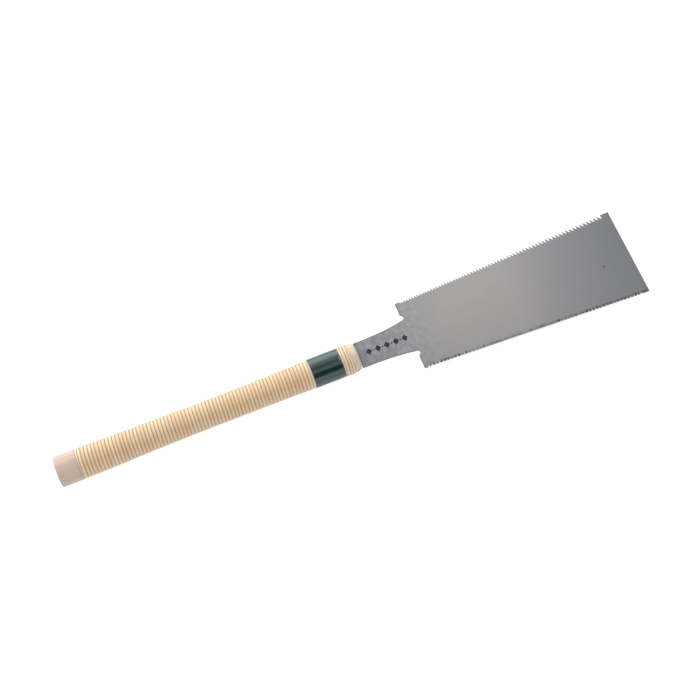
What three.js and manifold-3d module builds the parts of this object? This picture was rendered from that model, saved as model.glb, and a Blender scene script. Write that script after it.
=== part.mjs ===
// A double-edged Japanese pull saw (ryoba): a thin steel blade that slides out of a rattan-bound handle.
// Millimetres. +X runs from the butt of the handle to the toe of the blade, +Y towards the rip teeth, +Z up.
// The origin is under the middle of the saw, on the surface that the handle lies on.
import * as THREE from "three";
import { mergeVertices } from "three/addons/utils/BufferGeometryUtils.js";
import Module from "manifold-3d";

const wasm = await Module();
wasm.setup();

// Lengths along the handle, from the butt forwards
const BUTT_LENGTH = 21; // bare wood
const GRIP_LENGTH = 237; // rattan binding
const BAND_LENGTH = 31; // glossy sleeve
const WHIPPING_LENGTH = 10; // short rattan binding
const NOSE_LENGTH = 7.2; // bare wood
const GRIP_START = BUTT_LENGTH;
const BAND_START = GRIP_START + GRIP_LENGTH;
const WHIPPING_START = BAND_START + BAND_LENGTH;
const NOSE_START = WHIPPING_START + WHIPPING_LENGTH;
const HANDLE_LENGTH = NOSE_START + NOSE_LENGTH;

// The handle's section is an oval, wider in the blade's plane than across it
const THICKNESS_RATIO = 0.8;
const SIDES = 32; // round the oval
const BUTT_WIDTH = 31;
const BAND_WIDTH = 30.3;
const WHIPPING_WIDTH = 31.5;
const NOSE_WIDTH = 30;
const NOSE_TIP_WIDTH = 27;
const NOSE_CROWN = 0.5; // how far the side has come in halfway along the nose
const BUTT_ROUND = 0.8;
const NOSE_ROUND = 0.6;
const ROUND_STEPS = 3;
const GRIP_WIDTHS = [ // [place along the handle, width over the rattan]
  [GRIP_START, 31.4],
  [45, 31.2],
  [80, 29.9],
  [115, 28.9],
  [160, 28.6],
  [205, 28.8],
  [240, 29.6],
  [BAND_START, 30.6],
];
const GRIP_STEPS = 14; // rings along the grip

// Skins on the wooden core, and the gaps between pieces that touch
const RATTAN_THICKNESS = 1.2;
const SLEEVE_THICKNESS = 0.5;
const FIT_GAP = 0.2;
const CHAMFER = 0.3; // on the ends of each skin

// Blade
const BLADE_THICKNESS = 0.6;
const CUTTING_LENGTH = 240;
const NECK_LENGTH = 55.5;
const NECK_WIDTH = 27.4;
const NECK_STRAIGHT = 7.7; // from the shoulders to where the neck starts to flare
const FLARE_PULL = 0.55; // how far along the flare its curve is pulled outwards
const CURVE_STEPS = 8; // on each curve of the outline
const SHOULDER_ROUND = 0.8;
const HEEL_WIDTH = 73.2; // over the tooth tips
const TOE_WIDTH = 94.2;
const RELIEF_RADIUS = 2.5; // the round notch between the neck and each heel
// One row of teeth on each side: half the neck's width at its heel, how far that heel lies from HEEL_X
// towards the handle, the plain blocks at both ends, the number of pitches and their growth from each to the
// next, and the share of its pitch that the first gullet takes. The teeth change evenly from the first to the
// last of a pair: how far their tips lie inside the blocks, and, as shares of the pitch, their depth and how
// far the gullet under a tip lies beyond it.
const RIP = {
  neckRoot: 17.9,
  heelLead: 1.2,
  heelBlock: 3.9,
  toeBlock: 9.4,
  pitches: 66,
  growth: 1.00577,
  sunk: [-0.3, -0.35],
  firstGullet: 0.5,
  depth: [0.97, 1.25],
  lean: [-0.15, 0.2],
};
const CROSSCUT = {
  neckRoot: 17,
  heelLead: 0,
  heelBlock: 3.8,
  toeBlock: 8.3,
  pitches: 121,
  growth: 1,
  sunk: [-0.1, -0.35],
  firstGullet: 1,
  depth: [0.9, 0.9],
  lean: [-0.34, -0.34],
};

// Tang and the folded steel holder that it slides into
const TANG_LENGTH = 70.8; // behind the shoulders
const TANG_WIDTH = 18;
const PIN_RADIUS = 2;
const SLOT_CLEARANCE = 0.2; // between the tang's slot and the stop pin
const SIDE_CLEARANCE = 0.2; // between the tang's edges and the holder
const FACE_CLEARANCE = 0.12; // between the tang's faces and the holder
const HOLDER_SHEET = 0.6; // thickness of the folded steel
const HOLDER_LIP = 0.7; // how far the holder stands out of the nose
const HOLDER_TAIL = 12; // behind the tang
const SHOULDER_GAP = 0.2; // between the blade's shoulders and the lip
const STOP_PIN_BEFORE_TAIL = 14; // from the tang's tail to the stop pin
const TAIL_RIVET_BEHIND_TAIL = 6.5;
const PIN_HALF_LENGTH = 9.6;
const PIN_SIDES = 16;
const SPLIT_GAP = 0.2; // between the two halves of the core

// Worked-out places
const AXIS_HEIGHT = (WHIPPING_WIDTH / 2) * THICKNESS_RATIO; // the widest part lies on the surface
const LIP_X = HANDLE_LENGTH + HOLDER_LIP;
const SHOULDER_X = LIP_X + SHOULDER_GAP;
const HEEL_X = SHOULDER_X + NECK_LENGTH;
const TOE_X = HEEL_X + CUTTING_LENGTH;
const TAIL_X = SHOULDER_X - TANG_LENGTH;
const STOP_PIN_X = TAIL_X + STOP_PIN_BEFORE_TAIL;
const TAIL_RIVET_X = TAIL_X - TAIL_RIVET_BEHIND_TAIL;
const HOLDER_START = TAIL_X - HOLDER_TAIL;
const HOLDER_LENGTH = LIP_X - HOLDER_START;
const HOLDER_INNER = { width: TANG_WIDTH + 2 * SIDE_CLEARANCE, height: BLADE_THICKNESS + 2 * FACE_CLEARANCE };
const HOLDER_OUTER = {
  width: HOLDER_INNER.width + 2 * HOLDER_SHEET,
  height: HOLDER_INNER.height + 2 * HOLDER_SHEET,
};
const TO_X_AXIS = new THREE.Matrix4().makeBasis(
  new THREE.Vector3(0, 1, 0),
  new THREE.Vector3(0, 0, 1),
  new THREE.Vector3(1, 0, 0),
);

// ---- Solids ----

// A closed geometry as a manifold solid, with its shared corners merged.
function solidOf(geometry) {
  const bare = geometry.clone();
  bare.deleteAttribute("normal");
  bare.deleteAttribute("uv");
  const merged = mergeVertices(bare, 1e-4);
  const vertProperties = merged.attributes.position.array;
  const triVerts = new Uint32Array(merged.index.array);
  return new wasm.Manifold(new wasm.Mesh({ numProp: 3, vertProperties, triVerts }));
}

// A manifold solid as a geometry that is drawn.
function geometryOf(solid) {
  const mesh = solid.getMesh();
  const geometry = new THREE.BufferGeometry();
  geometry.setAttribute("position", new THREE.BufferAttribute(mesh.vertProperties, 3));
  geometry.setIndex(new THREE.BufferAttribute(mesh.triVerts, 1));
  geometry.computeVertexNormals();
  return geometry;
}

// An oval body round the X axis from a closed half profile of [x, half width] points.
function ovalTurning(profile) {
  const points = profile.map(([x, halfWidth]) => new THREE.Vector2(halfWidth, x));
  const geometry = new THREE.LatheGeometry(points, SIDES);
  geometry.rotateZ(-Math.PI / 2);
  geometry.scale(1, 1, THICKNESS_RATIO);
  return geometry;
}

// A sleeve on the core: outer is a list of [x, half width], and the wall lies inside it.
function sleeve(outer, wall) {
  const first = outer[0];
  const last = outer[outer.length - 1];
  const outside = [
    [first[0], first[1] - CHAMFER],
    [first[0] + CHAMFER, first[1]],
    ...outer.slice(1, -1),
    [last[0] - CHAMFER, last[1]],
    [last[0], last[1] - CHAMFER],
  ];
  const inside = outer.map(([x, halfWidth]) => [x, halfWidth - wall]).reverse();
  return ovalTurning([...outside, ...inside, outside[0]]);
}

// A long shape with half-round ends, centred on the origin.
function stadium(Path, { width, height }) {
  const radius = height / 2;
  const reach = width / 2 - radius;
  const path = new Path();
  path.absarc(reach, 0, radius, -Math.PI / 2, Math.PI / 2);
  path.absarc(-reach, 0, radius, Math.PI / 2, (3 * Math.PI) / 2);
  path.closePath();
  return path;
}

// A cylinder along Z at a place on the handle's axis.
function crossPin(x, radius, halfLength) {
  const geometry = new THREE.CylinderGeometry(radius, radius, 2 * halfLength, PIN_SIDES);
  geometry.rotateX(Math.PI / 2);
  geometry.translate(x, 0, 0);
  return geometry;
}

// ---- Handle ----

// Half widths over the rattan, along the grip.
function gripLine() {
  const corners = GRIP_WIDTHS.map(([x, width]) => new THREE.Vector2(x, width / 2));
  return new THREE.SplineCurve(corners).getPoints(GRIP_STEPS).map((p) => [p.x, p.y]);
}

// A rounded edge, from the side at halfWidth to the end plane at endX. The body lies on the side that inwards
// points to: +1 from the butt, -1 from the nose.
function roundedEnd(endX, halfWidth, radius, inwards) {
  return Array.from({ length: ROUND_STEPS + 1 }, (_, i) => {
    const turn = (i / ROUND_STEPS) * (Math.PI / 2);
    return [
      endX + inwards * radius * (1 - Math.sin(turn)),
      halfWidth - radius * (1 - Math.cos(turn)),
    ];
  });
}

// The wooden core in one piece: bare butt, seats for the rattan and the sleeve, bare nose.
function coreTurning() {
  const seat = (halfWidth, wall) => halfWidth - wall - FIT_GAP;
  const bandSeat = seat(BAND_WIDTH / 2, SLEEVE_THICKNESS);
  const whippingSeat = seat(WHIPPING_WIDTH / 2, RATTAN_THICKNESS);
  return ovalTurning([
    [0, 0],
    ...roundedEnd(0, BUTT_WIDTH / 2, BUTT_ROUND, 1).reverse(),
    [GRIP_START, BUTT_WIDTH / 2],
    ...gripLine().map(([x, halfWidth]) => [x, seat(halfWidth, RATTAN_THICKNESS)]),
    [BAND_START, bandSeat],
    [WHIPPING_START, bandSeat],
    [WHIPPING_START, whippingSeat],
    [NOSE_START, whippingSeat],
    [NOSE_START, NOSE_WIDTH / 2],
    [NOSE_START + NOSE_LENGTH / 2, NOSE_WIDTH / 2 - NOSE_CROWN],
    ...roundedEnd(HANDLE_LENGTH, NOSE_TIP_WIDTH / 2, NOSE_ROUND, -1),
    [HANDLE_LENGTH, 0],
  ]);
}

// The pocket that the two halves leave for the holder.
function holderPocket() {
  const pocket = {
    width: HOLDER_OUTER.width + 2 * FIT_GAP,
    height: HOLDER_OUTER.height + 2 * FIT_GAP,
  };
  const geometry = new THREE.ExtrudeGeometry(stadium(THREE.Shape, pocket), {
    depth: HOLDER_LENGTH + FIT_GAP,
    bevelEnabled: false,
    curveSegments: 4,
  });
  geometry.applyMatrix4(TO_X_AXIS);
  geometry.translate(HOLDER_START - FIT_GAP, 0, 0);
  return geometry;
}

// The half of the core below the blade's plane. The upper half is the same piece turned over.
function coreHalf() {
  const halfSpace = new THREE.BoxGeometry(HANDLE_LENGTH * 2, BUTT_WIDTH * 2, BUTT_WIDTH);
  halfSpace.translate(0, 0, -(BUTT_WIDTH + SPLIT_GAP) / 2);
  const hole = (x) => solidOf(crossPin(x, PIN_RADIUS + FIT_GAP, BUTT_WIDTH));
  const half = solidOf(coreTurning())
    .intersect(solidOf(halfSpace))
    .subtract(solidOf(holderPocket()))
    .subtract(hole(STOP_PIN_X))
    .subtract(hole(TAIL_RIVET_X));
  return geometryOf(half);
}

function gripWrap() {
  const line = gripLine();
  line[0][0] += FIT_GAP;
  line[line.length - 1][0] -= FIT_GAP;
  return sleeve(line, RATTAN_THICKNESS);
}

function straightSleeve(start, length, width, wall) {
  const outer = [
    [start + FIT_GAP, width / 2],
    [start + length - FIT_GAP, width / 2],
  ];
  return sleeve(outer, wall);
}

function bandSleeve() {
  return straightSleeve(BAND_START, BAND_LENGTH, BAND_WIDTH, SLEEVE_THICKNESS);
}

function frontWrap() {
  return straightSleeve(WHIPPING_START, WHIPPING_LENGTH, WHIPPING_WIDTH, RATTAN_THICKNESS);
}

// The flattened steel tube that guides and grips the tang, with holes for both cross pins.
function bladeHolder() {
  const section = stadium(THREE.Shape, HOLDER_OUTER);
  section.holes.push(stadium(THREE.Path, HOLDER_INNER));
  const tube = new THREE.ExtrudeGeometry(section, {
    depth: HOLDER_LENGTH,
    bevelEnabled: false,
    curveSegments: 4,
  });
  tube.applyMatrix4(TO_X_AXIS);
  tube.translate(HOLDER_START, 0, 0);
  const hole = (x) => solidOf(crossPin(x, PIN_RADIUS + FIT_GAP, HOLDER_OUTER.height));
  return geometryOf(solidOf(tube).subtract(hole(STOP_PIN_X)).subtract(hole(TAIL_RIVET_X)));
}

// ---- Blade ----

// Half the width over the tooth tips at a place along the blade.
function tipLine(x) {
  return (HEEL_WIDTH + ((TOE_WIDTH - HEEL_WIDTH) * (x - HEEL_X)) / CUTTING_LENGTH) / 2;
}

// A row of teeth from heel to toe, as [x, half width] points between its two plain blocks. Each tooth is a
// gullet and then a tip: its steep front faces the handle and its back runs down to the next gullet.
function toothRow(row) {
  const { heelLead, heelBlock, toeBlock, pitches, growth, firstGullet, sunk, depth, lean } = row;
  const { lerp } = THREE.MathUtils;
  const start = HEEL_X + heelBlock;
  const end = TOE_X - toeBlock;
  const shares = Array.from({ length: pitches }, (_, i) => (i ? growth ** i : firstGullet));
  const unit = (end - start) / shares.reduce((sum, share) => sum + share);
  const points = [[HEEL_X - heelLead, tipLine(HEEL_X)], [start, tipLine(start)]];
  let x = start;
  for (let i = 0; i < pitches; i += 1) {
    const pitch = unit * growth ** i;
    const along = i / (pitches - 1);
    x += unit * shares[i];
    const tip = tipLine(x) - lerp(...sunk, along);
    points.push([x + lerp(...lean, along) * pitch, tip - lerp(...depth, along) * pitch]);
    points.push([x, i === pitches - 1 ? tipLine(x) : tip]);
  }
  points.push([TOE_X, tipLine(TOE_X)]);
  return points;
}

// One side of the outline from the shoulder to the toe, as a list of points with positive half widths.
function bladeSide(row) {
  const neck = NECK_WIDTH / 2;
  const flareX = SHOULDER_X + NECK_STRAIGHT;
  const heelX = HEEL_X - row.heelLead;
  const side = new THREE.Path();
  side.moveTo(SHOULDER_X, TANG_WIDTH / 2);
  side.lineTo(SHOULDER_X, neck - SHOULDER_ROUND);
  side.lineTo(SHOULDER_X + SHOULDER_ROUND, neck);
  side.lineTo(flareX, neck);
  side.quadraticCurveTo(flareX + (heelX - flareX) * FLARE_PULL, neck, heelX, row.neckRoot);
  side.absarc(heelX, row.neckRoot + RELIEF_RADIUS, RELIEF_RADIUS, -Math.PI / 2, Math.PI / 2);
  toothRow(row).forEach(([x, halfWidth]) => side.lineTo(x, halfWidth));
  return side.getPoints(CURVE_STEPS);
}

// The outline: round the tang and its rear-open slot, up one side with its teeth and back down the other.
function bladeOutline() {
  const slot = PIN_RADIUS + SLOT_CLEARANCE;
  const tang = TANG_WIDTH / 2;
  const shape = new THREE.Shape();
  shape.moveTo(TAIL_X, slot);
  shape.lineTo(STOP_PIN_X, slot);
  shape.absarc(STOP_PIN_X, 0, slot, Math.PI / 2, -Math.PI / 2, true);
  shape.lineTo(TAIL_X, -slot);
  shape.lineTo(TAIL_X, -tang);
  bladeSide(CROSSCUT).forEach((p) => shape.lineTo(p.x, -p.y));
  bladeSide(RIP).reverse().forEach((p) => shape.lineTo(p.x, p.y));
  shape.lineTo(TAIL_X, tang);
  shape.closePath();
  return shape;
}

function blade() {
  const plate = new THREE.ExtrudeGeometry(bladeOutline(), {
    depth: BLADE_THICKNESS,
    bevelEnabled: false,
    curveSegments: CURVE_STEPS,
  });
  plate.translate(0, 0, -BLADE_THICKNESS / 2);
  return plate;
}

// ---- Assembly ----

const WOOD = { color: 0xd9c2a8, roughness: 0.5, metalness: 0 };
const RATTAN = { color: 0xe3c49c, roughness: 0.4, metalness: 0 };
const SLEEVE = { color: 0x24332f, roughness: 0.2, metalness: 0 };
const BLADE_STEEL = { color: 0x9c9a99, roughness: 0.35, metalness: 1 };
const SHEET_STEEL = { color: 0x8d9093, roughness: 0.45, metalness: 1 };
const PIN_STEEL = { color: 0xa3a5a7, roughness: 0.4, metalness: 1 };

function piece(name, geometry, look) {
  const mesh = new THREE.Mesh(geometry, new THREE.MeshStandardMaterial(look));
  mesh.name = name;
  return mesh;
}

const lowerHalf = piece("handle_half_lower", coreHalf(), WOOD);
const upperHalf = piece("handle_half_upper", coreHalf(), WOOD);
upperHalf.rotation.x = Math.PI;

const handle = new THREE.Group();
handle.add(
  lowerHalf,
  upperHalf,
  piece("grip_wrap", gripWrap(), RATTAN),
  piece("band_sleeve", bandSleeve(), SLEEVE),
  piece("front_wrap", frontWrap(), RATTAN),
  piece("blade_holder", bladeHolder(), SHEET_STEEL),
  piece("stop_pin", crossPin(STOP_PIN_X, PIN_RADIUS, PIN_HALF_LENGTH), PIN_STEEL),
  piece("tail_rivet", crossPin(TAIL_RIVET_X, PIN_RADIUS, PIN_HALF_LENGTH), PIN_STEEL),
);

const saw = new THREE.Group();
for (const group of [handle, piece("blade", blade(), BLADE_STEEL)]) {
  group.position.set(-TOE_X / 2, 0, AXIS_HEIGHT);
  saw.add(group);
}

export default saw;
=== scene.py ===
"""A double-edged Japanese pull saw (ryoba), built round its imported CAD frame.

Metres, in the CAD's own frame: +X runs from the butt of the handle to the toe of the blade, +Y towards the
rip teeth and +Z up. The handle lies on the floor at z = 0, and the blade lies in the plane z = AXIS_Z.
"""
import math

import bmesh
import bpy
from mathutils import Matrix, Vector, noise
from mathutils.geometry import delaunay_2d_cdt


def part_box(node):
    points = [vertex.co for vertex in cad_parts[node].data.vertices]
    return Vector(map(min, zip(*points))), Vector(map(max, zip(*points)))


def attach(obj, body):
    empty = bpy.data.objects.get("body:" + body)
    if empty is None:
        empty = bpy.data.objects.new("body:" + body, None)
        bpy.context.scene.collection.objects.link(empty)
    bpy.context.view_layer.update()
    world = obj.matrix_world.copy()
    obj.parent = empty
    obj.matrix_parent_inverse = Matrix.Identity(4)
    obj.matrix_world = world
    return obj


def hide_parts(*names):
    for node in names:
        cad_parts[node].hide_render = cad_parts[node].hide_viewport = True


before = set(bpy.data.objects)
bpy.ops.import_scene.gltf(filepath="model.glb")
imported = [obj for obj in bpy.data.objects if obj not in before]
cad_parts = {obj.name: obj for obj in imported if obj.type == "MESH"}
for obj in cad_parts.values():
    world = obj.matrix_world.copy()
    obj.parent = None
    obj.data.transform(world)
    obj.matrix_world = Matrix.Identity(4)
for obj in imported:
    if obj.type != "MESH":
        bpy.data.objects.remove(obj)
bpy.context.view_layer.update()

MM = 0.001
TURN = 2 * math.pi
TINY = 1e-6  # for comparing two places or directions

# ---- Places and sizes, from the frame ----
grip_low, grip_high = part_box("grip_wrap")
band_low, band_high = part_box("band_sleeve")
front_low, front_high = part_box("front_wrap")
holder_low, holder_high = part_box("blade_holder")
blade_low, blade_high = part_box("blade")
core_low, core_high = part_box("handle_half_lower")[0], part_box("handle_half_upper")[1]
pin_low, pin_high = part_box("stop_pin")

AXIS_Z = (blade_low.z + blade_high.z) / 2
BUTT_X = core_low.x
NOSE_X = core_high.x
RATIO = (band_high.z - band_low.z) / (band_high.y - band_low.y)  # the oval's thickness over its width
FIT_GAP = (band_low.x - grip_high.x) / 2  # what each skin stands back from its seat's ends
GRIP_START = grip_low.x - FIT_GAP
BAND_START = band_low.x - FIT_GAP
FRONT_START = front_low.x - FIT_GAP
NOSE_START = front_high.x + FIT_GAP

# ---- Handle details that the CAD model leaves out ----
RATTAN_THICKNESS = 1.2 * MM
SLEEVE_THICKNESS = 0.5 * MM
GRIP_TURNS, GRIP_SEED = 68, 3.0
FRONT_TURNS, FRONT_SEED = 3, 11.0
STEPS_PER_TURN = 64
STRAND_BOTTOM = math.pi * 1.5  # the angle of a strand's ends, below the handle
STRAND_CROWN = (-1, -0.9, -0.7, -0.4, 0, 0.4, 0.7, 0.9, 1)  # the points across a strand's rounded top
STRAND_CURVE = 2.6  # the power of the crown's curve: 2 is an ellipse, and more is flatter
STRAND_WOBBLE, STRAND_FLUTTER = 0.08 * MM, 0.03 * MM  # slow and quick changes of its height
STRAND_DRIFT = 0.14  # how far the top of the crown wanders sideways, as a share of the half width
STRAND_EDGE = 0.34  # the height of the strand's edge, as a share of its thickness
STRAND_SINK = 0.05 * MM  # how far its crown lies below the CAD sleeve's surface
STRAND_SLACK = 0.02  # the gap at each side of a turn, as a share of the pitch
STRAND_END_HALF = 0.02 * MM  # the half width at the tapered ends
STRAND_END_DROP = 0.3 * MM  # and how much lower the crown lies there
END_HIGHLIGHT_LENGTH = 110 * MM  # of paler cane at both ends of a binding: a painted highlight on the end turns, which no neighbour shades
OVAL_STEPS = 128
SPLIT_LINE = 0.08 * MM  # between the two halves of the core
BUTT_ROUND = 0.8 * MM
NOSE_ROUND = 0.8 * MM
SEAT_EDGE = 0.3 * MM  # the chamfer where bare wood drops to a seat
NOSE_SIDE = 0.5 * MM  # how much narrower the nose is than the butt on each side
NOSE_TAPER = 1.4 * MM  # and how much narrower again at its tip
NOSE_CURVE = 1.8  # the power that the nose's taper grows with
FILM_EDGE = 0.25 * MM  # the rounding of the film's ends
FILM_STATIONS = 16  # the points along it
FILM_RIPPLE = 0.035 * MM
FILM_LAP = 0.04 * MM  # how much the film stands up where it overlaps itself, below the handle
LAP_START, LAP_END, LAP_FADE = math.radians(248), math.radians(282), math.radians(1.6)
HOLDER_SIDE_PLAY = 0.2 * MM  # between the tang and the holder, at each side
HOLDER_FACE_PLAY = 0.12 * MM  # and above and below it
HOLDER_EASE = 0.2 * MM

# ---- Blade ----
SHOULDER_GAP = 0.2 * MM  # between the holder's lip and the blade's shoulders
PIN_GAP = 0.2 * MM  # between the stop pin and the tang's slot
BLADE_THICKNESS = blade_high.z - blade_low.z
CUTTING_LENGTH = 240 * MM
TOE_X = blade_high.x
HEEL_X = TOE_X - CUTTING_LENGTH
TAIL_X = blade_low.x
SHOULDER_X = holder_high.x + SHOULDER_GAP
TOE_HALF = blade_high.y
HEEL_HALF = 36.6 * MM
NECK_HALF = 13.7 * MM
FLARE_X = SHOULDER_X + 7.7 * MM
FLARE_PULL = 0.55  # the place of the curve's control point, as a share of the way along the flare
TANG_HALF = 9 * MM
SHOULDER_ROUND = 0.4 * MM
RELIEF_RADIUS = 2.5 * MM
CHAMFER_INSET = 0.4 * MM  # the plain edges are eased by a wide, shallow chamfer
CHAMFER_DROP = 0.1 * MM
ORNAMENT_START, ORNAMENT_END = SHOULDER_X + 7 * MM, HEEL_X - 1 * MM
LOZENGES = 5
LOZENGE_HALF_LENGTH, LOZENGE_HALF_WIDTH = 3.1 * MM, 3.6 * MM
DOT_RADIUS = 0.8 * MM
PUNCH_MARK = (TOE_X - 30.6 * MM, -6 * MM)
PUNCH_RADIUS = 0.85 * MM
STOP_PIN_X = (pin_low.x + pin_high.x) / 2
SLOT_HALF = (pin_high.x - pin_low.x) / 2 + PIN_GAP
# The rows of teeth. Root is the half width where the neck's flare ends, and lead is how far the row's heel
# corner stands behind HEEL_X. Heel and toe are the lengths of the toothless blocks. Each pitch is the one
# before it times growth, and first is the share of a pitch between the heel's block and the first tip.
# Pairs are (at the heel, at the toe). Sunk is how far the tips stand inside the line along the blocks, and
# where it is negative they pass it. Depth and lean, shares of the pitch, place each gullet from its tip:
# depth inwards, and lean towards the toe. The gullets alternate between two shares of that depth.
RIP = {
    "root": 17.9 * MM, "lead": 1.2 * MM, "heel": 3.9 * MM, "toe": 9.4 * MM,
    "pitches": 66, "growth": 1.00577, "first": 0.5,
    "sunk": (-0.3 * MM, -0.35 * MM), "depth": (0.97, 1.25), "lean": (-0.15, 0.2),
    "gullets": (1, 1),
}
CROSSCUT = {
    "root": 17 * MM, "lead": 0.0, "heel": 3.8 * MM, "toe": 8.3 * MM,
    "pitches": 121, "growth": 1.0, "first": 1.0,
    "sunk": (-0.3 * MM, -0.75 * MM), "depth": (1.45, 1.45), "lean": (-0.34, -0.34),
    "gullets": (1, 0.42),
}
TOOTH_SET = 0.12 * MM  # how far the tips are bent to each side in turn
TOOTH_THINNING = 0.7  # the tips' share of the plate's thickness
TOOTH_RIM = 0.04 * MM  # from a tooth's face to its side wall
TIP_SETBACK = 0.02 * MM  # how far a tip is cut back on a plain face
BEVEL_SETBACK = 0.5 * MM  # and on its bevelled face
PLATE, FILED, ETCHED, BEVEL = range(4)  # the blade's materials


# ---- Small helpers ----

def srgb(red, green, blue):
    """A linear colour from 0-255 values as they look on a screen."""
    def linear(value):
        share = value / 255
        return share / 12.92 if share <= 0.04045 else ((share + 0.055) / 1.055) ** 2.4
    return (linear(red), linear(green), linear(blue), 1)


def mesh_object(name, vertices, faces, materials, smooth=True):
    mesh = bpy.data.meshes.new(name)
    mesh.from_pydata(vertices, [], faces)
    mesh.validate()
    mesh.polygons.foreach_set("use_smooth", [smooth] * len(mesh.polygons))
    obj = bpy.data.objects.new(name, mesh)
    bpy.context.scene.collection.objects.link(obj)
    for material in materials:
        mesh.materials.append(material)
    return obj


def place(obj, body, slot, *nodes):
    """The piece rides on a body and stands for CAD nodes, which it hides. The slot is not used."""
    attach(obj, body)
    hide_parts(*nodes)


def apply_modifiers(obj):
    graph = bpy.context.evaluated_depsgraph_get()
    mesh = bpy.data.meshes.new_from_object(obj.evaluated_get(graph))
    obj.modifiers.clear()
    obj.data = mesh


# ---- Materials ----

PLATE_LIGHT, PLATE_DARK = (0.344, 0.329, 0.325, 1), (0.301, 0.292, 0.293, 1)  # linear colours
GRIND_DEPTH = 0.012 * MM  # of the ground lines on steel


def new_material(name):
    material = bpy.data.materials.new(name)
    material.use_nodes = True
    return material, material.node_tree, material.node_tree.nodes["Principled BSDF"]


def set_shader(shader, **values):
    for key, value in values.items():
        shader.inputs[key.replace("_", " ")].default_value = value


def node(tree, kind, inputs=None, **settings):
    """A shader node. An input is a value, or another node's output that is linked to it."""
    made = tree.nodes.new(kind)
    for key, value in settings.items():
        setattr(made, key, value)
    for key, value in (inputs or {}).items():
        if isinstance(value, bpy.types.NodeSocket):
            tree.links.new(value, made.inputs[key])
        else:
            made.inputs[key].default_value = value
    return made


def object_place(tree):
    return node(tree, "ShaderNodeTexCoord").outputs["Object"]


def noise_of(tree, source, scale, detail):
    """Noise with its own scale along each axis, so that it can have a grain."""
    vector = node(tree, "ShaderNodeMapping", {"Vector": source, "Scale": scale}).outputs[0]
    inputs = {"Vector": vector, "Scale": 1.0, "Detail": detail, "Roughness": 0.55}
    return node(tree, "ShaderNodeTexNoise", inputs).outputs["Fac"]


def spread(tree, value, low, high, to_low=0.0, to_high=1.0):
    """A ramp, to_low where the value is low or less and to_high where it is high or more."""
    inputs = {0: value, 1: low, 2: high, 3: to_low, 4: to_high}
    return node(tree, "ShaderNodeMapRange", inputs).outputs[0]


def arithmetic(tree, operation, first, second):
    return node(tree, "ShaderNodeMath", {0: first, 1: second}, operation=operation).outputs[0]


def distance_from(tree, value, where):
    return arithmetic(tree, "ABSOLUTE", arithmetic(tree, "SUBTRACT", value, where), 0.0)


def mixed(tree, factor, first, second):
    """The first colour, turning into the second as the factor goes to 1."""
    return node(tree, "ShaderNodeMix", {0: factor, 6: first, 7: second}, data_type="RGBA").outputs[2]


def bumped(tree, shader, height, strength, distance):
    inputs = {"Height": height, "Strength": strength, "Distance": distance}
    tree.links.new(node(tree, "ShaderNodeBump", inputs).outputs[0], shader.inputs["Normal"])


def painted_side_sheen(tree, colour):
    """The colour with painted sheen and shade: greyer down the sides of the handle and underneath, where the
    light falls on them differently, and how strong that change is.
    """
    height = node(tree, "ShaderNodeSeparateXYZ", {0: object_place(tree)}).outputs[2]
    # Painted sheen and shade: full below the first height, none above the second.
    side_paint_full_height, side_paint_free_height = AXIS_Z + 3 * MM, AXIS_Z + 10 * MM
    side = spread(tree, height, side_paint_full_height, side_paint_free_height, 1, 0)
    return mixed(tree, arithmetic(tree, "MULTIPLY", side, 0.42), colour, srgb(170, 166, 152)), side


def wood_material():
    """Pale planed hinoki: fine grain along the handle, growth rings across it, a thin oil finish. It turns
    from pinkish at the butt to ivory at the nose, and it is worn darker at the nose's tip."""
    material, tree, shader = new_material("handle_wood")
    where = object_place(tree)
    along = node(tree, "ShaderNodeSeparateXYZ", {0: where}).outputs[0]
    fibres = noise_of(tree, where, (14, 900, 900), 5)
    pith = node(
        tree, "ShaderNodeMapping",
        {"Vector": where, "Location": (0, -12 * MM, 21 * MM), "Scale": (0.06, 1, 1)},
    )
    rings = node(
        tree, "ShaderNodeTexWave",
        {"Vector": pith.outputs[0], "Scale": 105.0, "Distortion": 1.6, "Detail": 2.0, "Detail Scale": 0.6},
        wave_type="RINGS", rings_direction="X", wave_profile="SAW",
    ).outputs["Fac"]
    clouds = noise_of(tree, where, (18, 60, 60), 2)
    ivory = spread(tree, along, GRIP_START, NOSE_START)
    pale = mixed(tree, ivory, srgb(231, 201, 186), srgb(231, 221, 198))
    warm = mixed(tree, ivory, srgb(224, 197, 179), srgb(224, 213, 185))
    early = mixed(tree, spread(tree, clouds, 0.35, 0.65), pale, warm)
    ringed = mixed(tree, spread(tree, rings, 0.55, 1.0, 0, 0.4), early, srgb(203, 168, 144))
    grained = mixed(tree, spread(tree, fibres, 0.3, 0.7, 0, 0.32), ringed, srgb(214, 187, 165))
    worn_length = 3 * MM
    worn = spread(tree, along, NOSE_X - worn_length, NOSE_X, 0, 0.4)
    tipped = mixed(tree, worn, grained, srgb(176, 158, 132))
    # Painted sheen and shade down the sides and underneath.
    colour, _ = painted_side_sheen(tree, tipped)
    tree.links.new(colour, shader.inputs["Base Color"])
    tree.links.new(spread(tree, fibres, 0.3, 0.7, 0.42, 0.56), shader.inputs["Roughness"])
    set_shader(shader, Coat_Weight=0.05, Coat_Roughness=0.35, Specular_IOR_Level=0.35)
    bumped(tree, shader, fibres, 0.25, 0.05 * MM)
    return material


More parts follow.
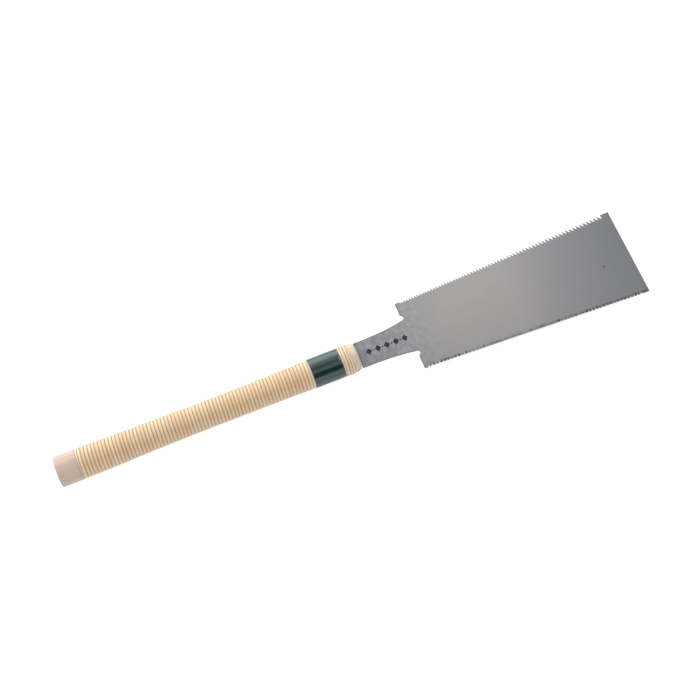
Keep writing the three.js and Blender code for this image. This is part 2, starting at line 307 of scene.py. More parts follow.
def rattan_material(name, length, pale):
    """Split cane on a strand of this length: a glossy skin with fibres along the strand, painted browner
    towards its edges as shade in the grooves between turns. The first and last turns, over the pale length,
    are painted paler as a highlight, since no neighbour shades them."""
    material, tree, shader = new_material(name)
    strand = node(tree, "ShaderNodeUVMap", uv_map="strand").outputs[0]
    parts = node(tree, "ShaderNodeSeparateXYZ", {0: strand})
    across = distance_from(tree, parts.outputs[1], 0.5)
    # Painted highlight on the first and last turns of the strand.
    first = spread(tree, parts.outputs[0], 0.7 * pale, 1.3 * pale, 1, 0)
    last = spread(tree, parts.outputs[0], length - 1.3 * pale, length - 0.7 * pale, 0, 1)
    end = arithmetic(tree, "MAXIMUM", first, last)
    fibres = noise_of(tree, strand, (45, 16, 1), 3)
    tone = noise_of(tree, strand, (7, 0.6, 1), 2)
    flecks = noise_of(tree, strand, (160, 9, 1), 2)
    skin = mixed(tree, spread(tree, tone, 0.35, 0.65), srgb(255, 228, 188), srgb(246, 210, 164))
    fibred = mixed(tree, spread(tree, fibres, 0.42, 0.72, 0, 0.45), skin, srgb(226, 182, 134))
    flecked = mixed(tree, spread(tree, flecks, 0.68, 0.78, 0, 0.5), fibred, srgb(200, 152, 104))
    end_highlighted = mixed(tree, arithmetic(tree, "MULTIPLY", end, 0.6), flecked, srgb(252, 246, 224))
    side_painted, side = painted_side_sheen(tree, end_highlighted)
    # Painted shade in the grooves between turns, weaker down the sides.
    groove_shade = spread(tree, across, 0.24, 0.5, 0, 0.8)
    groove_shade_strength = arithmetic(tree, "MULTIPLY", groove_shade, spread(tree, side, 0, 1, 1, 0.4))
    colour = mixed(tree, groove_shade_strength, side_painted, srgb(180, 132, 86))
    tree.links.new(colour, shader.inputs["Base Color"])
    tree.links.new(spread(tree, fibres, 0.3, 0.7, 0.28, 0.44), shader.inputs["Roughness"])
    set_shader(shader, Coat_Weight=0.45, Coat_Roughness=0.18)
    bumped(tree, shader, fibres, 0.4, 0.06 * MM)
    return material


def film_material():
    """Glossy dark green-black film, faintly clouded and rubbed."""
    material, tree, shader = new_material("band_film")
    where = object_place(tree)
    clouds = noise_of(tree, where, (60, 60, 60), 3)
    rubs = noise_of(tree, where, (90, 1400, 1400), 3)
    colour = mixed(tree, spread(tree, clouds, 0.35, 0.65), srgb(24, 46, 40), srgb(36, 60, 54))
    tree.links.new(colour, shader.inputs["Base Color"])
    tree.links.new(spread(tree, rubs, 0.4, 0.75, 0.05, 0.13), shader.inputs["Roughness"])
    set_shader(shader, Specular_IOR_Level=1.0, Specular_Tint=(0.87, 1.0, 1.02, 1))
    bumped(tree, shader, clouds, 0.25, 0.1 * MM)
    return material


def steel_material(name, colour, dark, roughness, grain, mottle):
    """Bare steel: a fine pattern with this grain, soft clouds of tone, and a roughness that follows the
    pattern. The grain is the pattern's scale along each axis, and mottle is how strong the clouds are."""
    material, tree, shader = new_material(name)
    where = object_place(tree)
    pattern = noise_of(tree, where, grain, 5)
    clouds = noise_of(tree, where, (38, 60, 60), 4)
    lined = mixed(tree, spread(tree, pattern, 0.3, 0.7, 0, 0.5), colour, dark)
    clouded = mixed(tree, spread(tree, clouds, 0.3, 0.75, 0, mottle), lined, dark)
    tree.links.new(clouded, shader.inputs["Base Color"])
    dullness = spread(tree, pattern, 0.3, 0.7, roughness - 0.05, roughness + 0.06)
    tree.links.new(dullness, shader.inputs["Roughness"])
    set_shader(shader, Metallic=1.0)
    bumped(tree, shader, pattern, 0.5, GRIND_DEPTH)
    return material


def neck_colour(tree, where, x):
    """Bluer, blotched steel, with a painted shadow line across the neck just in front of the holder's lip.
    """
    blotches = noise_of(tree, where, (240, 240, 40), 3)
    blotched = mixed(tree, spread(tree, blotches, 0.35, 0.65), srgb(160, 160, 163), srgb(130, 132, 137))
    # Painted shadow of the handle's nose on the neck.
    from_shadow_line = distance_from(tree, x, SHOULDER_X + 1.3 * MM)
    return mixed(tree, spread(tree, from_shadow_line, 0.2 * MM, 1 * MM, 0.6, 0), blotched, srgb(96, 95, 86))


def crosscut_band_shade(tree, where, x, y):
    """How strong the darker band is behind the crosscut teeth: partly their ground bevel, partly painted
    shade, in patches.
    """
    slope = (TOE_HALF - HEEL_HALF) / CUTTING_LENGTH
    edge_y = arithmetic(tree, "ADD", arithmetic(tree, "MULTIPLY", x, slope), HEEL_HALF - HEEL_X * slope)
    from_edge = arithmetic(tree, "ADD", y, edge_y)
    behind_teeth = spread(tree, from_edge, 2.2 * MM, 3.6 * MM, 1, 0)
    along = spread(tree, x, HEEL_X + CROSSCUT["heel"], HEEL_X + 2 * CROSSCUT["heel"], 0, 1)
    patches = noise_of(tree, where, (420, 90, 40), 1)
    patched = spread(tree, patches, 0.4, 0.6, 0.1, 1.0)
    return arithmetic(tree, "MULTIPLY", arithmetic(tree, "MULTIPLY", behind_teeth, along), patched)


def blade_material():
    """Ground blade steel: fine lines along the blade and soft clouds. The neck has its own colour. The toe
    and the crosscut side are painted darker as shade where the light falls off, and a darker band, partly
    painted shade, runs behind the crosscut teeth."""
    material, tree, shader = new_material("blade_plate")
    where = object_place(tree)
    parts = node(tree, "ShaderNodeSeparateXYZ", {0: where})
    x, y = parts.outputs[0], parts.outputs[1]
    lines = noise_of(tree, where, (40, 2600, 40), 5)
    clouds = noise_of(tree, where, (38, 60, 60), 4)
    lined = mixed(tree, spread(tree, lines, 0.3, 0.7, 0, 0.5), PLATE_LIGHT, PLATE_DARK)
    clouded = mixed(tree, spread(tree, clouds, 0.3, 0.75, 0, 0.3), lined, PLATE_DARK)
    neck = spread(tree, x, HEEL_X - 30 * MM, HEEL_X + 35 * MM, 1, 0)
    necked = mixed(tree, neck, clouded, neck_colour(tree, where, x))
    # Painted shade: the blade darker and bluer towards the toe, where the light falls off.
    toe = spread(tree, x, TOE_X - 130 * MM, TOE_X, 0, 1)
    toe_shaded = mixed(tree, toe, necked, srgb(120, 122, 127))
    # Painted shade towards the crosscut side, stronger at the toe.
    crosscut_shade = spread(tree, y, -TOE_HALF, TOE_HALF, 1, 0)
    side_shade_strength = arithmetic(tree, "MULTIPLY", crosscut_shade, spread(tree, toe, 0, 1, 0.08, 0.22))
    side_shaded = mixed(tree, side_shade_strength, toe_shaded, srgb(80, 80, 82))
    # A darker band behind the crosscut teeth, partly painted shade.
    colour = mixed(tree, crosscut_band_shade(tree, where, x, y), side_shaded, srgb(84, 84, 86))
    tree.links.new(colour, shader.inputs["Base Color"])
    tree.links.new(spread(tree, lines, 0.3, 0.7, 0.31, 0.42), shader.inputs["Roughness"])
    set_shader(shader, Metallic=1.0)
    bumped(tree, shader, lines, 0.5, GRIND_DEPTH)
    return material


def floor_material():
    """Grey paper that glows enough to look white and to keep the shadows faint."""
    material, tree, shader = new_material("white_floor")
    fibres = noise_of(tree, object_place(tree), (300, 300, 300), 3)
    colour = mixed(tree, fibres, (0.36, 0.36, 0.36, 1), (0.34, 0.34, 0.34, 1))
    tree.links.new(colour, shader.inputs["Base Color"])
    set_shader(shader, Roughness=0.9, Specular_IOR_Level=0.1)
    set_shader(shader, Emission_Color=(1, 1, 1, 1), Emission_Strength=FLOOR_GLOW)
    return material


# ---- Handle ----

def side_profile(cad_node):
    """[x, half width] rings of a turned CAD node, without its chamfered ends."""
    rings = {}
    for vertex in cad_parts[cad_node].data.vertices:
        x = round(vertex.co.x, 5)
        rings[x] = max(rings.get(x, 0), vertex.co.y)
    return sorted(rings.items())[1:-1]


def smooth_width(profile, x):
    """The half width at x, on a smooth curve through the rings."""
    if x <= profile[0][0]:
        return profile[0][1]
    if x >= profile[-1][0]:
        return profile[-1][1]
    i = max(j for j, ring in enumerate(profile[:-1]) if ring[0] <= x)

    def slope(j):
        before, after = profile[max(j - 1, 0)], profile[min(j + 1, len(profile) - 1)]
        return (after[1] - before[1]) / (after[0] - before[0])

    (x0, y0), (x1, y1) = profile[i], profile[i + 1]
    length = x1 - x0
    t = (x - x0) / length
    return (
        (2 * t ** 3 - 3 * t ** 2 + 1) * y0 + (t ** 3 - 2 * t ** 2 + t) * length * slope(i)
        + (3 * t ** 2 - 2 * t ** 3) * y1 + (t ** 3 - t ** 2) * length * slope(i + 1)
    )


def oval_point(x, angle, half_width, lift=0.0):
    """A point at an angle round the oval, lifted off it along its own normal."""
    half_height = half_width * RATIO
    outward = Vector((0, math.cos(angle) / half_width, math.sin(angle) / half_height)).normalized()
    point = Vector((x, half_width * math.cos(angle), AXIS_Z + half_height * math.sin(angle)))
    return point + outward * lift


def strand_ring(turned, start, pitch, turns, width_at, seed):
    """A strand's section after this many turns: the points over its crown, then two at its foot."""
    angle = STRAND_BOTTOM - TURN * turned
    left = start + pitch * min(max(turned - 1, 0), turns)
    right = start + pitch * min(turned, turns)
    wobble = noise.noise(Vector((turned * 0.9, seed, 0)))
    flutter = noise.noise(Vector((turned * 6.0, seed, 5)))
    crown = STRAND_WOBBLE * wobble + STRAND_FLUTTER * flutter
    drift = STRAND_DRIFT * noise.noise(Vector((turned * 1.3, seed, 9)))
    gap = STRAND_SLACK * pitch * (1 + flutter)
    middle, half = (left + right) / 2, max((right - left) / 2 - gap, STRAND_END_HALF)
    fullness = min(1, 2 * half / pitch * 1.6)  # the tapered ends are thinner too
    ring = []
    for u in STRAND_CROWN:
        x = middle + half * u
        lean = u - drift * (1 - u * u)
        height = STRAND_EDGE + (1 - STRAND_EDGE) * math.sqrt(max(0, 1 - abs(lean) ** STRAND_CURVE))
        lift = (height - 1) * RATTAN_THICKNESS - (1 - fullness) * STRAND_END_DROP
        lift += crown * (1 - abs(u)) - STRAND_SINK
        ring.append(oval_point(x, angle, width_at(x), lift))
    for u in (1, -1):
        x = middle + half * u
        ring.append(oval_point(x, angle, width_at(x), -RATTAN_THICKNESS))
    return ring


def wound_strand(name, start, end, turns, width_at, seed):
    """A flat strand wound tightly round the oval. It tapers in over its first turn and out over its last, so
    that both ends of the binding are square to the handle. Its UV map runs along and across the strand."""
    pitch = (end - start) / turns
    steps = (turns + 1) * STEPS_PER_TURN
    rings = [
        strand_ring(step / STEPS_PER_TURN, start, pitch, turns, width_at, seed) for step in range(steps + 1)
    ]
    per_ring = len(STRAND_CROWN) + 2
    faces = []
    for step in range(steps):
        for k in range(per_ring):
            a, b = step * per_ring + k, step * per_ring + (k + 1) % per_ring
            faces.append((a, b, b + per_ring, a + per_ring))
    faces.append(tuple(reversed(range(per_ring))))
    faces.append(tuple(range(steps * per_ring, (steps + 1) * per_ring)))
    top = len(STRAND_CROWN) // 2
    lengths = [0.0]
    for before, after in zip(rings, rings[1:]):
        lengths.append(lengths[-1] + (after[top] - before[top]).length)
    vertices = [point for ring in rings for point in ring]
    obj = mesh_object(name, vertices, faces, [rattan_material(name, lengths[-1], END_HIGHLIGHT_LENGTH)])
    places = [(u + 1) / 2 for u in STRAND_CROWN] + [1.0, 0.0]
    uv = obj.data.uv_layers.new(name="strand")
    for loop in obj.data.loops:
        step, k = divmod(loop.vertex_index, per_ring)
        uv.data[loop.index].uv = (lengths[step], places[k])
    return obj


def core_profile():
    """[x, half width] along the wooden core: butt, seats under the skins, nose."""
    butt_half = core_high.y
    grip = side_profile("grip_wrap")
    band_half, front_half = band_high.y, front_high.y
    nose_half = butt_half - NOSE_SIDE
    tip_half = nose_half - NOSE_TAPER
    points = []
    for i in range(9):
        turn = i / 8 * math.pi / 2
        back, inwards = BUTT_ROUND * (1 - math.cos(turn)), BUTT_ROUND * (1 - math.sin(turn))
        points.append((BUTT_X + back, butt_half - inwards))
    points.append((GRIP_START - SEAT_EDGE, butt_half))
    points.append((GRIP_START, butt_half - SEAT_EDGE))
    grip_seat = RATTAN_THICKNESS + FIT_GAP
    for i in range(13):
        x = GRIP_START + (BAND_START - GRIP_START) * i / 12
        points.append((x, smooth_width(grip, x) - grip_seat))
    points.append((BAND_START, band_half - SLEEVE_THICKNESS - FIT_GAP))
    points.append((FRONT_START, band_half - SLEEVE_THICKNESS - FIT_GAP))
    points.append((FRONT_START, front_half - grip_seat))
    points.append((NOSE_START, front_half - grip_seat))
    points.append((NOSE_START, nose_half - SEAT_EDGE))
    points.append((NOSE_START + SEAT_EDGE, nose_half))
    length = NOSE_X - NOSE_ROUND - NOSE_START
    for i in range(1, 9):
        share = i / 8
        taper = (nose_half - tip_half) * share ** NOSE_CURVE
        points.append((NOSE_START + length * share, nose_half - taper))
    for i in range(1, 7):
        turn = i / 6 * math.pi / 2
        back, inwards = NOSE_ROUND * (1 - math.sin(turn)), NOSE_ROUND * (1 - math.cos(turn))
        points.append((NOSE_X - back, tip_half - inwards))
    return points


def stadium_loop(half_width, half_height, steps=8):
    """(y, z) corners of a long shape with half-round ends, anticlockwise."""
    reach = half_width - half_height
    loop = []
    for side in (1, -1):
        for i in range(steps + 1):
            turn = math.pi * (i / steps - side / 2)
            loop.append((side * reach + half_height * math.cos(turn), half_height * math.sin(turn)))
    return loop


def prism(name, loop, start, end, material):
    """A closed bar along X with the given (y, z) outline, round the handle's axis."""
    count = len(loop)
    vertices = [(x, y, AXIS_Z + z) for x in (start, end) for y, z in loop]
    faces = [(k, (k + 1) % count, count + (k + 1) % count, count + k) for k in range(count)]
    faces += [tuple(reversed(range(count))), tuple(range(count, 2 * count))]
    return mesh_object(name, vertices, faces, [material], smooth=False)


def cut_pocket(half, material):
    """Cut the holder's pocket, open at the nose, out of one half of the core."""
    pocket = stadium_loop(holder_high.y + FIT_GAP, (holder_high.z - holder_low.z) / 2 + FIT_GAP)
    well_past_the_nose = NOSE_X + 5 * MM
    cutter = prism("pocket_cutter", pocket, holder_low.x - FIT_GAP, well_past_the_nose, material)
    fix_normals(cutter)
    cut = half.modifiers.new("pocket", "BOOLEAN")
    cut.object = cutter
    cut.solver = "EXACT"
    apply_modifiers(half)
    bpy.data.objects.remove(cutter)


def core_half(name, side, material):
    """One half of the core; side is +1 above the split and -1 below."""
    profile = core_profile()
    half_steps = OVAL_STEPS // 2
    vertices, faces = [], []
    per_ring = half_steps + 1
    for x, half_width in profile:
        for k in range(per_ring):
            angle = side * math.pi * k / half_steps
            point = oval_point(x, angle, half_width)
            vertices.append((point.x, point.y, point.z + side * SPLIT_LINE / 2))
    for i in range(len(profile) - 1):
        for k in range(per_ring - 1):
            a, b = i * per_ring + k, i * per_ring + k + 1
            faces.append((a, b, b + per_ring, a + per_ring))
    last = (len(profile) - 1) * per_ring
    near_edge = list(range(0, last + per_ring, per_ring))
    far_edge = [k + half_steps for k in reversed(near_edge)]
    faces.append(tuple(near_edge + far_edge))
    faces.append(tuple(reversed(range(per_ring))))
    faces.append(tuple(range(last, last + per_ring)))
    half = mesh_object(name, vertices, faces, [material])
    fix_normals(half)
    cut_pocket(half, material)
    shade_by_angle(half, 35)
    return half


def fix_normals(obj):
    bm = bmesh.new()
    bm.from_mesh(obj.data)
    bmesh.ops.recalc_face_normals(bm, faces=bm.faces)
    bm.to_mesh(obj.data)
    bm.free()


def shade_by_angle(obj, degrees):
    """Smooth shading, with edges sharper than this left crisp."""
    bm = bmesh.new()
    bm.from_mesh(obj.data)
    for face in bm.faces:
        face.smooth = True
    for edge in bm.edges:
        sharp = len(edge.link_faces) != 2 or edge.calc_face_angle() > math.radians(degrees)
        edge.smooth = not sharp
    bm.to_mesh(obj.data)
    bm.free()


def band_sleeve(material):
    """The glossy film: rounded ends, a slightly uneven surface, and an overlap where it is lapped below."""
    wall, edge = SLEEVE_THICKNESS, FILM_EDGE
    profile = [(0, -wall), (0, -edge), (0.3 * edge, -0.3 * edge), (edge, 0)]
    length = band_high.x - band_low.x
    profile += [(edge + (length - 2 * edge) * i / FILM_STATIONS, 0) for i in range(1, FILM_STATIONS)]
    profile += [(length - edge, 0), (length - 0.3 * edge, -0.3 * edge), (length, -edge), (length, -wall)]
    count = len(profile)
    vertices, faces = [], []
    for k in range(OVAL_STEPS):
        angle = TURN * k / OVAL_STEPS
        lapped = 0.5 * (1 + math.tanh((angle - LAP_START) / LAP_FADE))
        lapped *= 0.5 * (1 - math.tanh((angle - LAP_END) / LAP_FADE))
        for x, lift in profile:
            ripple = noise.noise(Vector((x / MM / 9, math.cos(angle) * 1.6, math.sin(angle) * 1.6)))
            skin = FILM_RIPPLE * ripple - FILM_LAP + FILM_LAP * lapped if lift > -wall else 0
            vertices.append(oval_point(band_low.x + x, angle, band_high.y, lift + skin))
    for k in range(OVAL_STEPS):
        for i in range(count):
            a, b = k * count + i, k * count + (i + 1) % count
            c, d = ((k + 1) % OVAL_STEPS) * count + (i + 1) % count, ((k + 1) % OVAL_STEPS) * count + i
            faces.append((a, b, c, d))
    sleeve = mesh_object("band_film", vertices, faces, [material])
    fix_normals(sleeve)
    shade_by_angle(sleeve, 50)
    return sleeve


def folded_holder(material):
    """The flattened steel tube round the tang, with an eased mouth."""
    inner_half = TANG_HALF + HOLDER_SIDE_PLAY
    inner_height = BLADE_THICKNESS / 2 + HOLDER_FACE_PLAY
    outer_half, outer_height = holder_high.y, (holder_high.z - holder_low.z) / 2
    ease = HOLDER_EASE
    rings = [
        (holder_low.x, inner_half, inner_height),
        (holder_low.x, outer_half, outer_height),
        (holder_high.x - ease, outer_half, outer_height),
        (holder_high.x - 0.3 * ease, outer_half - 0.3 * ease, outer_height - 0.3 * ease),
        (holder_high.x, outer_half - ease, outer_height - ease),
        (holder_high.x, inner_half + 0.5 * ease, inner_height + 0.5 * ease),
        (holder_high.x - ease, inner_half, inner_height),
    ]
    vertices, faces = [], []
    for x, half_width, half_height in rings:
        vertices += [(x, y, AXIS_Z + z) for y, z in stadium_loop(half_width, half_height)]
    count = len(vertices) // len(rings)
    for i in range(len(rings)):
        for k in range(count):
            j, n = (i + 1) % len(rings), (k + 1) % count
            faces.append((i * count + k, i * count + n, j * count + n, j * count + k))
    holder = mesh_object("steel_holder", vertices, faces, [material])
    fix_normals(holder)
    shade_by_angle(holder, 30)
    return holder


# ---- Blade ----

def tip_line(x):
    return HEEL_HALF + (TOE_HALF - HEEL_HALF) * (x - HEEL_X) / CUTTING_LENGTH


def tooth_row(row, side):
    """Corners (x, y, role, parity) from heel to toe along one side, +1 or -1. The roles are edge, gullet and
    tip. A tip's parity is the face that it is bent towards, +1 above and -1 below."""
    start, end = HEEL_X + row["heel"], TOE_X - row["toe"]
    shares = [row["growth"] ** i if i else row["first"] for i in range(row["pitches"])]
    unit = (end - start) / sum(shares)
    corners = [
        (HEEL_X - row["lead"], side * tip_line(HEEL_X), "edge", 0),
        (start, side * tip_line(start), "edge", 0),
    ]
    x = start
    for i, share in enumerate(shares):
        pitch = unit * row["growth"] ** i
        along = i / (row["pitches"] - 1)
        sunk, depth, lean = (
            row[key][0] + (row[key][1] - row[key][0]) * along for key in ("sunk", "depth", "lean")
        )
        x += share * unit
        tip = tip_line(x) - sunk
        gullet = tip - depth * row["gullets"][i % 2] * pitch
        corners.append((x + lean * pitch, side * gullet, "gullet", 0))
        if i < row["pitches"] - 1:
            corners.append((x, side * tip, "tip", 1 if i % 2 else -1))
    corners.append((x, side * tip_line(x), "edge", 0))
    corners.append((TOE_X, side * tip_line(TOE_X), "edge", 0))
    return corners


def arc(centre_x, centre_y, radius, start, end, steps):
    """Points on an arc, angles in degrees."""
    points = []
    for i in range(steps + 1):
        turn = math.radians(start + (end - start) * i / steps)
        points.append((centre_x + radius * math.cos(turn), centre_y + radius * math.sin(turn)))
    return points


def neck_flare(heel_x, root):
    """The concave edge from the straight of the neck out to the heel, without its two ends."""
    pull_x = FLARE_X + (heel_x - FLARE_X) * FLARE_PULL
    points = []
    for i in range(1, 12):
        t = i / 12
        x = (1 - t) ** 2 * FLARE_X + 2 * t * (1 - t) * pull_x + t * t * heel_x
        points.append((x, (1 - t * t) * NECK_HALF + t * t * root))
    return points


def blade_side(row, side):
    """One side, +1 or -1, of the outline from the shoulder to the toe, as (x, y, role, parity) corners."""
    heel_x, root = HEEL_X - row["lead"], row["root"]
    points = [(SHOULDER_X, TANG_HALF), (SHOULDER_X, NECK_HALF - SHOULDER_ROUND)]
    points += [(SHOULDER_X + SHOULDER_ROUND, NECK_HALF), (FLARE_X, NECK_HALF)]
    points += neck_flare(heel_x, root)
    points += arc(heel_x, root + RELIEF_RADIUS, RELIEF_RADIUS, -90, 90, 14)
    return [(x, side * y, "edge", 0) for x, y in points] + tooth_row(row, side)


def blade_outline():
    """The whole outline, anticlockwise from above: the tang's slot, then up one side and down the other."""
    slot = [(x, y, "edge", 0) for x, y in arc(STOP_PIN_X, 0, SLOT_HALF, 90, -90, 10)]
    tail = [(TAIL_X, y, "edge", 0) for y in (-SLOT_HALF, -TANG_HALF)]
    other_tail = [(TAIL_X, y, "edge", 0) for y in (TANG_HALF, SLOT_HALF)]
    return slot + tail + blade_side(CROSSCUT, -1) + blade_side(RIP, 1)[::-1] + other_tail


def inward(corners, i):
    """The inward direction at a corner, long enough to keep a chamfer even round it."""
    (x0, y0), (x, y), (x1, y1) = (corners[j % len(corners)][:2] for j in (i - 1, i, i + 1))
    before, after = Vector((x - x0, y - y0)).normalized(), Vector((x1 - x, y1 - y)).normalized()
    left = Vector((-before.y - after.y, before.x + after.x))
    if left.length < TINY:
        return Vector((-before.y, before.x))
    left.normalize()
    return left / max(0.5, left.dot(Vector((-before.y, before.x))))


def cap_corners(corners, face):
    """Each corner's place on the upper (+1) or lower (-1) face: chamfered in at a plain edge, bent and
    thinned at a tooth's tip, and cut back at every other crosscut tip to leave its filed bevel."""
    half = BLADE_THICKNESS / 2
    placed = []
    for i, (x, y, role, parity) in enumerate(corners):
        if role == "edge":
            inset = inward(corners, i) * CHAMFER_INSET
            placed.append((x + inset.x, y + inset.y, face * half))
        elif role == "gullet":
            placed.append((x, y, face * half))
        else:
            setback = BEVEL_SETBACK if shows_bevel(corners[i], face) else TIP_SETBACK
            z = face * half * TOOTH_THINNING + parity * TOOTH_SET
            placed.append((x, y - math.copysign(setback, y), z))
    return placed


def rim_corners(corners, face):
    """The corners of the narrow side wall, just inside each face."""
    rim = []
    for (x, y, role, parity), (cap_x, cap_y, cap_z) in zip(corners, cap_corners(corners, face)):
        if role == "edge":
            rim.append((x, y, cap_z - face * CHAMFER_DROP))
        else:
            rim.append((cap_x, cap_y, cap_z - face * TOOTH_RIM))
    return rim


def etched_loops():
    """A plain ornament on the neck, a row of lozenges with dots between, and a punched dot near the toe."""
    pitch = (ORNAMENT_END - ORNAMENT_START) / LOZENGES
    loops = []
    for i in range(LOZENGES):
        x = ORNAMENT_START + pitch * (i + 0.5)
        back, front = x - LOZENGE_HALF_LENGTH, x + LOZENGE_HALF_LENGTH
        loops.append([(back, 0), (x, -LOZENGE_HALF_WIDTH), (front, 0), (x, LOZENGE_HALF_WIDTH)])
        if i:
            loops.append(arc(x - pitch / 2, 0, DOT_RADIUS, 0, 330, 11))
    loops.append(arc(*PUNCH_MARK, PUNCH_RADIUS, 0, 330, 11))
    return loops


def inside(point, loop):
    """Whether a point lies in a closed loop."""
    x, y = point
    crossed = False
    for (x0, y0), (x1, y1) in zip(loop, loop[1:] + loop[:1]):
        if (y0 > y) != (y1 > y) and x < (x1 - x0) * (y - y0) / (y1 - y0) + x0:
            crossed = not crossed
    return crossed


def shows_bevel(corner, face):
    """Whether a corner is the tip of a crosscut tooth whose filed bevels lie on this face."""
    return corner[2] == "tip" and corner[1] < 0 and corner[3] != face


def rim_slot(pair, ring):
    """The material of the quad between two corners. Ring 1 is the side wall, 0 and 2 are the chamfers."""
    if any(shows_bevel(corner, -1 if ring == 2 else 1) for corner in pair):
        return BEVEL
    at_toe = all(corner[0] > TOE_X - TINY for corner in pair)
    at_tip = any(corner[2] == "tip" for corner in pair)
    return FILED if ring != 1 or at_toe or at_tip else PLATE


def rim_faces(corners):
    """The quads between the four rings of corners, from the upper face down, and their materials."""
    count = len(corners)
    faces, slots = [], []
    for ring in range(3):
        above, below = ring * count, (ring + 1) * count
        for k in range(count):
            n = (k + 1) % count
            faces.append((above + k, below + k, below + n, above + n))
            slots.append(rim_slot((corners[k], corners[n]), ring))
    return faces, slots


def face_triangles(corners, face, marks):
    """Triangles over the upper (+1) or lower (-1) face, with their materials. Their numbers count the face's
    corners and then the points of its marks. Every tooth has an edge across its root."""
    count = len(corners)
    flat = [Vector((x, y)) for x, y, _ in cap_corners(corners, face)]
    edges = [(k, (k + 1) % count) for k in range(count)]
    edges += [((k - 1) % count, (k + 1) % count) for k in range(count) if corners[k][2] == "tip"]
    for loop in marks:
        base = len(flat)
        flat += [Vector(point) for point in loop]
        edges += [(base + k, base + (k + 1) % len(loop)) for k in range(len(loop))]
    points, _, triangles, origins, _, _ = delaunay_2d_cdt(flat, edges, [], 1, 1e-7)
    if len(points) != len(flat):
        raise RuntimeError(f"face {face} needs {len(points)} points, not {len(flat)}")
    faces, slots = [], []
    for triangle in triangles:
        middle = sum((points[k] for k in triangle), Vector((0, 0))) / 3
        sources = [origins[k][0] for k in triangle]
        faces.append(sources if face > 0 else sources[::-1])
        if any(inside(middle, loop) for loop in marks):
            slots.append(ETCHED)
        elif any(k < count and shows_bevel(corners[k], face) for k in sources):
            slots.append(BEVEL)
        else:
            slots.append(PLATE)
    return faces, slots


def saw_blade(materials):
    """The blade: two triangulated faces with chamfered edges, bevelled, set teeth and an etched ornament on
    the upper face. The materials are in the order PLATE, FILED, ETCHED, BEVEL."""
    corners = blade_outline()
    marks = etched_loops()
    rings = (
        cap_corners(corners, 1), rim_corners(corners, 1), rim_corners(corners, -1), cap_corners(corners, -1),
    )
    vertices = [(x, y, AXIS_Z + z) for ring in rings for x, y, z in ring]
    vertices += [(x, y, AXIS_Z + BLADE_THICKNESS / 2) for loop in marks for x, y in loop]
    faces, slots = rim_faces(corners)
    other_rings = 3 * len(corners)
    upper, upper_slots = face_triangles(corners, 1, marks)
    faces += [[k if k < len(corners) else k + other_rings for k in triangle] for triangle in upper]
    lower, lower_slots = face_triangles(corners, -1, [])
    faces += [[k + other_rings for k in triangle] for triangle in lower]
    slots += upper_slots + lower_slots
    blade = mesh_object("saw_blade", vertices, faces, materials, smooth=False)
    blade.data.polygons.foreach_set("material_index", slots)
    fix_normals(blade)
    return blade


# ---- Stage ----

FLOOR_GLOW = 0.9  # the floor's own light
TENT_TINT = (0.985, 1.0, 1.02)
TENT_STOPS = [
    (-90, 0.6), (-68, 1.15), (-48, 0.85), (-40, 0.0), (-16, 0.0), (-8, 0.75),
    (8, 0.6), (17, 0.25), (30, 0.8), (45, 1.15), (62, 2.4), (90, 2.5),
]
CAMERA_PLACE = (-0.1487, -0.3556, AXIS_Z + 1.1084)
CAMERA_TARGET = (0.0009, 0.0087, AXIS_Z)
CAMERA_LENS = 61.7
SENSOR_WIDTH = 36
FLOOR_RADIUS, FLOOR_STEPS = 8, 96


def aim(obj, target):
    direction = Vector(target) - obj.location
    obj.rotation_euler = direction.to_track_quat("-Z", "Y").to_euler()


def camera():
    data = bpy.data.cameras.new("camera")
    data.lens = CAMERA_LENS
    data.sensor_width = SENSOR_WIDTH
    obj = bpy.data.objects.new("camera", data)
    obj.location = CAMERA_PLACE
    aim(obj, CAMERA_TARGET)
    bpy.context.scene.collection.objects.link(obj)
    bpy.context.scene.camera = obj


def soft_light(name, where, target, size, power, colour=(1, 1, 1)):
    data = bpy.data.lights.new(name, "AREA")
    data.shape = "RECTANGLE"
    data.size, data.size_y = size
    data.energy = power
    data.color = colour
    obj = bpy.data.objects.new(name, data)
    obj.location = where
    aim(obj, target)
    obj.visible_camera = False
    bpy.context.scene.collection.objects.link(obj)


def white_floor():
    turns = [TURN * k / FLOOR_STEPS for k in range(FLOOR_STEPS)]
    vertices = [(FLOOR_RADIUS * math.cos(turn), FLOOR_RADIUS * math.sin(turn), 0) for turn in turns]
    floor = mesh_object("floor", vertices, [tuple(range(FLOOR_STEPS))], [floor_material()])


def lights():
    soft_light("key", (0.48, 0.60, 1.40), (0.1, 0, AXIS_Z), (0.22, 0.6), 1.15, (1, 0.985, 0.965))
    for side in (-1, 1):
        soft_light(f"over_{side}", (side * 0.95, 0.14, 1.05), (0, 0, AXIS_Z), (0.5, 0.5), 1.5)


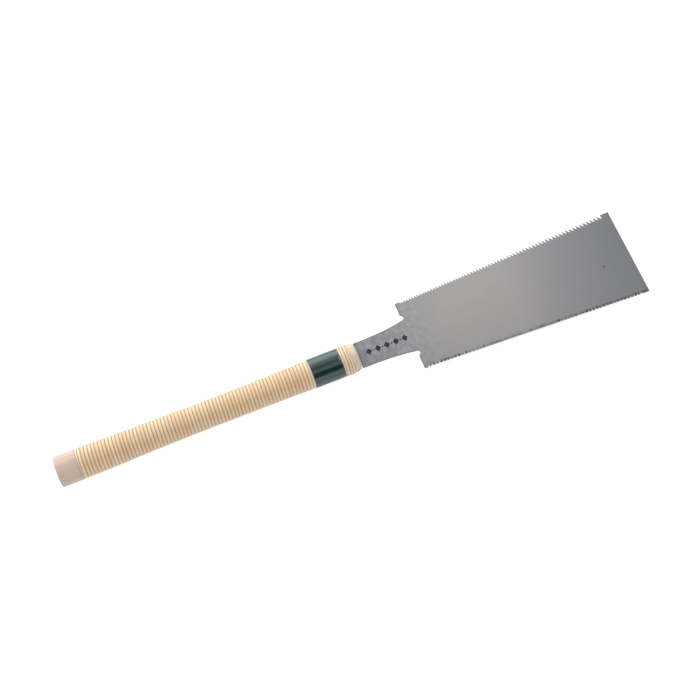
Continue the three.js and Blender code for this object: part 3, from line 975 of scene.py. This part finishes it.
def surroundings():
    """A light tent, as seen across the saw. It is brightest low down on the rip side, and its dark opening,
    where the camera looks in, lies on the crosscut side. The stops are (degrees from overhead to the rip
    side, light)."""
    world = bpy.data.worlds.new("tent")
    world.use_nodes = True
    tree = world.node_tree
    parts = node(tree, "ShaderNodeSeparateXYZ", {0: node(tree, "ShaderNodeTexCoord").outputs["Generated"]})
    tilt = arithmetic(tree, "ARCTAN2", parts.outputs[1], parts.outputs[2])
    ramp = node(tree, "ShaderNodeValToRGB", {0: spread(tree, tilt, -math.pi / 2, math.pi / 2)})
    stops = ramp.color_ramp.elements
    for degrees, light in TENT_STOPS[1:-1]:
        stops.new((degrees + 90) / 180)
    for stop, (degrees, light) in zip(stops, TENT_STOPS):
        stop.position = (degrees + 90) / 180
        stop.color = (light * TENT_TINT[0], light * TENT_TINT[1], light * TENT_TINT[2], 1)
    background = tree.nodes["Background"]
    tree.links.new(ramp.outputs[0], background.inputs[0])
    bpy.context.scene.world = world


def build():
    wood = wood_material()
    film = film_material()
    plate = blade_material()
    tooth = steel_material("filed_teeth", srgb(134, 135, 138), srgb(84, 86, 90), 0.32, (260, 260, 40), 0.6)
    # The filed bevels are painted dark, as shade on facets that face away from the light.
    shaded_bevel = steel_material("shaded_filed_bevels", srgb(76, 76, 80), srgb(40, 40, 44), 0.4, (260, 260, 40), 0.8)
    etched = steel_material("etched_mark", srgb(72, 72, 75), srgb(52, 52, 55), 0.5, (300, 300, 40), 0.6)
    sheet = steel_material("zinc_sheet", srgb(168, 170, 172), srgb(128, 130, 133), 0.4, (300, 90, 90), 0.5)

    place(core_half("core_upper", 1, wood), "handle", "wood", "handle_half_upper")
    place(core_half("core_lower", -1, wood), "handle", "wood", "handle_half_lower")
    grip = side_profile("grip_wrap")
    grip_strand = wound_strand(
        "grip_rattan", grip_low.x, grip_high.x, GRIP_TURNS, lambda x: smooth_width(grip, x), GRIP_SEED
    )
    place(grip_strand, "handle", "rattan", "grip_wrap")
    front_strand = wound_strand(
        "front_rattan", front_low.x, front_high.x, FRONT_TURNS, lambda x: front_high.y, FRONT_SEED
    )
    place(front_strand, "handle", "rattan", "front_wrap")
    place(band_sleeve(film), "handle", "band_film", "band_sleeve")
    place(folded_holder(sheet), "handle", "sheet_steel", "blade_holder")
    place(saw_blade([plate, tooth, etched, shaded_bevel]), "blade", "blade_steel", "blade")
    for pin in ("stop_pin", "tail_rivet"):
        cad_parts[pin].data.materials[0] = sheet


build()
white_floor()
surroundings()
lights()
camera()
bpy.context.scene.view_settings.view_transform = "Standard"
